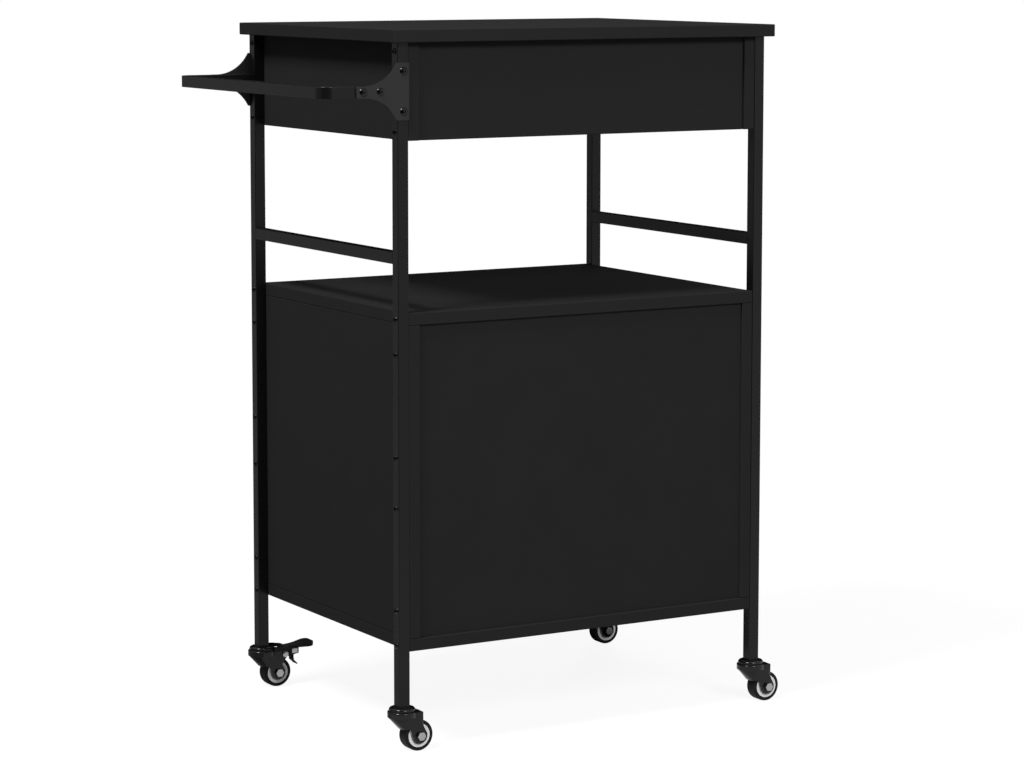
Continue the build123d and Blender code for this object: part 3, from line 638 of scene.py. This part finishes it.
@dataclass
class Casters:
    """Bearing balls in the swivel heads, and the bright parts of the brakes on the two front casters.

    Places on a brake are given as the distance behind the swivel axis and the height over the floor. A rivet's
    dome is given as shares of its radius and its depth.
    """

    ball_radius: float = 1.0 * MM
    ball_ring: float = 12.0 * MM
    balls: int = 24
    ball_rows: int = 9
    ball_steps: int = 12
    pin: tuple[float, float] = (29.5 * MM, 45.0 * MM)
    rivet_radius: float = 4.4 * MM
    rivet_inside: float = 13.1 * MM
    rivet_outside: float = 15.6 * MM
    rivet_dome: tuple[tuple[float, float], ...] = ((1, 0), (1, 0.5), (0.9, 0.75), (0.6, 0.93), (0, 1))
    rivet_steps: int = 32
    clip_start: float = 41.0 * MM
    clip_end: float = 49.5 * MM
    clip_low: float = 44.5 * MM
    clip_high: float = 50.9 * MM
    clip_inside: float = 10.2 * MM
    clip_outside: float = 11.0 * MM
    clip_ease: float = 0.3 * MM
    wire_side: float = 3.5 * MM
    wire_radius: float = 0.5 * MM
    wire: tuple[tuple[float, float], ...] = (
        (44.0 * MM, 43.0 * MM), (44.0 * MM, 38.6 * MM), (42.6 * MM, 36.4 * MM), (47.6 * MM, 34.6 * MM))
    wire_bend: float = 1.0 * MM
    wire_steps: int = 10

    def build_balls(self, cart: Cart) -> None:
        """Makes the rings of balls between the swivel caps and the forks.

        Args:
            cart: the cart that gets them.
        """
        arc = np.linspace(-math.pi / 2, math.pi / 2, self.ball_rows)
        outline = [(self.ball_radius * math.cos(lift), self.ball_radius * math.sin(lift)) for lift in arc]
        ball = lathe(outline, self.ball_steps)
        low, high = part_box("caster_ball_races")
        turn = np.linspace(0, 2 * math.pi, self.balls, endpoint=False)
        ring = self.ball_ring * np.stack([np.cos(turn), np.sin(turn), 0 * turn], axis=-1)
        reach = self.ball_ring + (high.z - low.z) / 2
        centres = [(x, y, (low.z + high.z) / 2) for x in (low.x + reach, high.x - reach)
                   for y in (low.y + reach, high.y - reach)]
        origins = np.concatenate([ring + centre for centre in np.array(centres)])
        rings = repeat(ball, origins, np.tile(np.eye(3), (len(origins), 1, 1)))
        cart.fit("caster_bearing_balls", rings, "caster_ball_races", "zinc_steel", ["caster_ball_races"])

    def build_brake(self, cart: Cart, caster: str, post: str) -> None:
        """Makes a brake's rivet heads, the spring clips on its cheeks and its spring wire.

        Args:
            cart: the cart that gets them.
            caster: the caster's name.
            post: the node of the post over it.
        """
        low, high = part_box(post)
        x, y = (low.x + high.x) / 2, (low.y + high.y) / 2
        pedal = f"{caster}_brake_pedal"
        depth = self.rivet_outside - self.rivet_inside
        dome = [(share * self.rivet_radius, rise * depth) for share, rise in self.rivet_dome]
        rivet = lathe(dome, self.rivet_steps)
        origins = [(x - self.pin[0], y + end * self.rivet_inside, self.pin[1]) for end in (-1, 1)]
        bases = [[(-end, 0, 0), (0, 0, 1), (0, end, 0)] for end in (-1, 1)]
        rivets = repeat(rivet, np.array(origins), np.array(bases, float))
        cart.fit(f"{caster}_brake_rivets", rivets, pedal, "zinc_steel")

        clips = join([eased_box((x - self.clip_end, y + near, self.clip_low),
                                (x - self.clip_start, y + far, self.clip_high), self.clip_ease)
                      for near, far in ((self.clip_inside, self.clip_outside),
                                        (-self.clip_outside, -self.clip_inside))])
        cart.fit(f"{caster}_brake_clips", clips, pedal, "zinc_steel")

        turn = np.linspace(0, 2 * math.pi, self.wire_steps, endpoint=False)
        ring = self.wire_radius * np.stack([np.cos(turn), np.sin(turn)], axis=-1)
        run = rounded_path([(x - back, y + self.wire_side, up) for back, up in self.wire], self.wire_bend)
        cart.fit(f"{caster}_brake_spring", sweep(run, ring, (0, 1, 0)), pedal, "brake_steel")

    def build(self, cart: Cart) -> None:
        """Makes the balls and both brakes.

        Args:
            cart: the cart that gets them.
        """
        self.build_balls(cart)
        for side in ("left", "right"):
            self.build_brake(cart, f"caster_front_{side}", f"post_front_{side}")


@dataclass(frozen=True)
class SoftLamp:
    """A square soft lamp that faces the cart.

    Its level is the light on a card that faces it, where 1 is white. Without glints it isn't mirrored.
    """

    name: str
    azimuth: float
    elevation: float
    level: float
    glints: bool = True
    size: float = 1.5
    distance: float = 6.0

    def build(self, aim: Vector) -> None:
        """Hangs the lamp.

        Args:
            aim: the point that it faces.
        """
        across, up = math.radians(self.azimuth), math.radians(self.elevation)
        towards = Vector((math.cos(across) * math.cos(up), math.sin(across) * math.cos(up), math.sin(up)))
        data = bpy.data.lights.new(self.name, "AREA")
        data.shape = "SQUARE"
        data.size = self.size
        data.energy = self.level * (math.pi * self.distance) ** 2
        lamp = bpy.data.objects.new(self.name, data)
        lamp.location = aim + towards * self.distance
        lamp.rotation_euler = towards.to_track_quat("Z", "Y").to_euler()
        lamp.visible_camera = False
        lamp.visible_glossy = self.glints
        bpy.context.scene.collection.objects.link(lamp)


@dataclass(frozen=True)
class Card:
    """A card that stands round part of the set, and shows only in what the black steel mirrors: a painted
    reflection, black or grey by its level.
    """

    name: str
    start: float
    end: float
    level: float
    radius: float = 8.5
    height: float = 7.0
    near: float = 0.3
    lift: float = 0.002
    steps: int = 32

    def build(self) -> None:
        """Stands the card, as arcs from its start to its end near the cart, at its foot and at its top."""
        turn = np.radians(np.linspace(self.start, self.end, self.steps + 1))
        arc = np.stack([np.cos(turn), np.sin(turn), 0 * turn], axis=-1)
        lift = np.array([0, 0, self.lift])
        points = np.concatenate([self.near * arc + lift, self.radius * arc + lift,
                                 self.radius * arc + (0, 0, self.height)])
        paint = bpy.data.materials.new(self.name)
        paint.use_nodes = True
        tree = paint.node_tree
        tree.nodes.clear()
        glow = node(tree, "ShaderNodeEmission", {"Color": linear("#ffffff"), "Strength": self.level})
        node(tree, "ShaderNodeOutputMaterial", {"Surface": glow.outputs[0]})
        mesh = bpy.data.meshes.new(self.name)
        mesh.from_pydata(points.tolist(), [], grid_faces(3, len(turn), False).tolist())
        mesh.materials.append(paint)
        card = bpy.data.objects.new(self.name, mesh)
        # Hidden from all but glossy rays, so what the card shows is a painted reflection.
        card.visible_camera = card.visible_diffuse = card.visible_shadow = card.visible_transmission = False
        bpy.context.scene.collection.objects.link(card)


@dataclass
class Studio:
    """White floor and surroundings, three soft lamps, cards of painted reflection, and the camera at the
    photograph's angle.
    """

    ambient: float = 0.26
    floor_radius: float = 14.0
    floor_steps: int = 96
    floor_glow: float = 0.9
    floor_fade: tuple[float, float] = (0.7, 2.0)
    floor_paint: str = "#ffffff"
    floor_bounce: str = "#a0a0a0"
    aim: tuple[float, float, float] = (0.0, 0.0, 0.5)
    lamps: tuple[SoftLamp, ...] = (
        SoftLamp("key_lamp", azimuth=90, elevation=31, level=0.655),
        SoftLamp("side_lamp", azimuth=14, elevation=54, level=1.1),
        SoftLamp("fill_lamp", azimuth=232, elevation=8, level=0.7, glints=False))
    painted_reflection_cards: tuple[Card, ...] = (
        # Painted dark reflection: a black sheet behind the camera, seen only in reflections.
        Card("painted_dark_reflection_behind_camera", start=14, end=100, level=0.0, near=1.5),
        # Painted grey reflection: a dim grey glowing sheet at the left, seen only in reflections.
        Card("painted_grey_reflection_at_left", start=-80, end=14, level=0.33),
        # Painted shade: a black sheet from under the cart outwards, seen only in reflections, where the floor
        # under and behind the cart lies in shade.
        Card("painted_shade_reflection_behind_cart", start=190, end=280, level=0.0, near=0.0))
    camera_place: tuple[float, float, float] = (2.1147, 3.6175, 1.0091)
    camera_yaw: float = 30.04
    camera_pitch: float = 6.429
    lens: float = 110.368
    sensor: float = 36.0
    shift: tuple[float, float] = (0.02218, -0.08)

    def seen(self, tree: bpy.types.NodeTree) -> bpy.types.NodeSocket:
        """Tells the rays that see the background from the rest: camera, glossy and transmission rays.

        Args:
            tree: the node tree that gets the nodes.

        Returns:
            A socket of 1 for such a ray, else 0.
        """
        path = node(tree, "ShaderNodeLightPath").outputs
        mirrored = node(tree, "ShaderNodeMath", {0: path["Is Glossy Ray"], 1: path["Is Transmission Ray"]},
                        operation="MAXIMUM")
        return node(tree, "ShaderNodeMath", {0: path["Is Camera Ray"], 1: mirrored.outputs[0]},
                    operation="MAXIMUM").outputs[0]

    def build_world(self) -> None:
        """Makes surroundings that look white and light the cart evenly."""
        world = bpy.data.worlds.new("white_surroundings")
        world.use_nodes = True
        tree = world.node_tree
        tree.nodes.clear()
        level = node(tree, "ShaderNodeMix",
                     {MIX_FACTOR: self.seen(tree), NUMBER_A: self.ambient, NUMBER_B: 1.0}, data_type="FLOAT")
        glow = node(tree, "ShaderNodeBackground", {"Color": linear("#ffffff"), "Strength": level.outputs[0]})
        node(tree, "ShaderNodeOutputWorld", {"Surface": glow.outputs[0]})
        bpy.context.scene.world = world

    def build_floor(self) -> None:
        """Makes a round floor with a faint shadow, which is plain white far off and throws little light up."""
        made = bpy.data.materials.new("white_floor")
        made.use_nodes = True
        tree = made.node_tree
        tree.nodes.clear()
        seen = self.seen(tree)
        place = node(tree, "ShaderNodeTexCoord").outputs["Object"]
        away = node(tree, "ShaderNodeVectorMath", {0: place}, operation="LENGTH").outputs["Value"]
        glow_share = node(tree, "ShaderNodeMapRange",
                          {"Value": away, "From Min": self.floor_fade[0], "From Max": self.floor_fade[1],
                           "To Min": self.floor_glow, "To Max": 1.0}, interpolation_type="SMOOTHSTEP")
        share = node(tree, "ShaderNodeMath", {0: seen, 1: glow_share.outputs["Result"]}, operation="MULTIPLY")
        colour = node(tree, "ShaderNodeMix",
                      {MIX_FACTOR: seen, COLOUR_A: linear(self.floor_bounce),
                       COLOUR_B: linear(self.floor_paint)}, data_type="RGBA")
        paint = node(tree, "ShaderNodeBsdfDiffuse", {"Color": colour.outputs[COLOUR_OUT]})
        glow = node(tree, "ShaderNodeEmission", {"Color": linear("#ffffff"), "Strength": 1.0})
        mix = node(tree, "ShaderNodeMixShader",
                   {0: share.outputs[0], 1: paint.outputs[0], 2: glow.outputs[0]})
        node(tree, "ShaderNodeOutputMaterial", {"Surface": mix.outputs[0]})
        disc = lathe([(self.floor_radius, 0.0), (0.0, 0.0)], self.floor_steps)
        mesh = bpy.data.meshes.new("floor")
        mesh.from_pydata(disc.points.tolist(), [], disc.faces)
        mesh.materials.append(made)
        floor = bpy.data.objects.new("floor", mesh)
        bpy.context.scene.collection.objects.link(floor)

    def build_camera(self) -> None:
        """Makes the camera, level in roll, with a little shift so that the posts stay nearly upright."""
        yaw, pitch = math.radians(self.camera_yaw), math.radians(self.camera_pitch)
        level = math.cos(pitch)
        towards = Vector((-math.sin(yaw) * level, -math.cos(yaw) * level, -math.sin(pitch)))
        data = bpy.data.cameras.new("camera")
        data.lens = self.lens
        data.sensor_width = self.sensor
        data.shift_x, data.shift_y = self.shift
        camera = bpy.data.objects.new("camera", data)
        camera.location = self.camera_place
        camera.rotation_euler = towards.to_track_quat("-Z", "Y").to_euler()
        bpy.context.scene.collection.objects.link(camera)
        bpy.context.scene.camera = camera

    def build(self) -> None:
        """Builds the whole studio."""
        bpy.context.scene.view_settings.view_transform = "Standard"
        self.build_world()
        self.build_floor()
        for lamp in self.lamps:
            lamp.build(Vector(self.aim))
        for card in self.painted_reflection_cards:
            card.build()
        self.build_camera()


def main() -> None:
    """Builds the cart and its studio in order."""
    logging.basicConfig(level=logging.INFO, format="%(message)s")
    cart = Cart()
    cart.dress_nodes()
    for assembly in (Boards(), Fasteners(), BowHandles(), Casters()):
        assembly.build(cart)
    Studio().build()


if __name__ == "__main__":
    main()
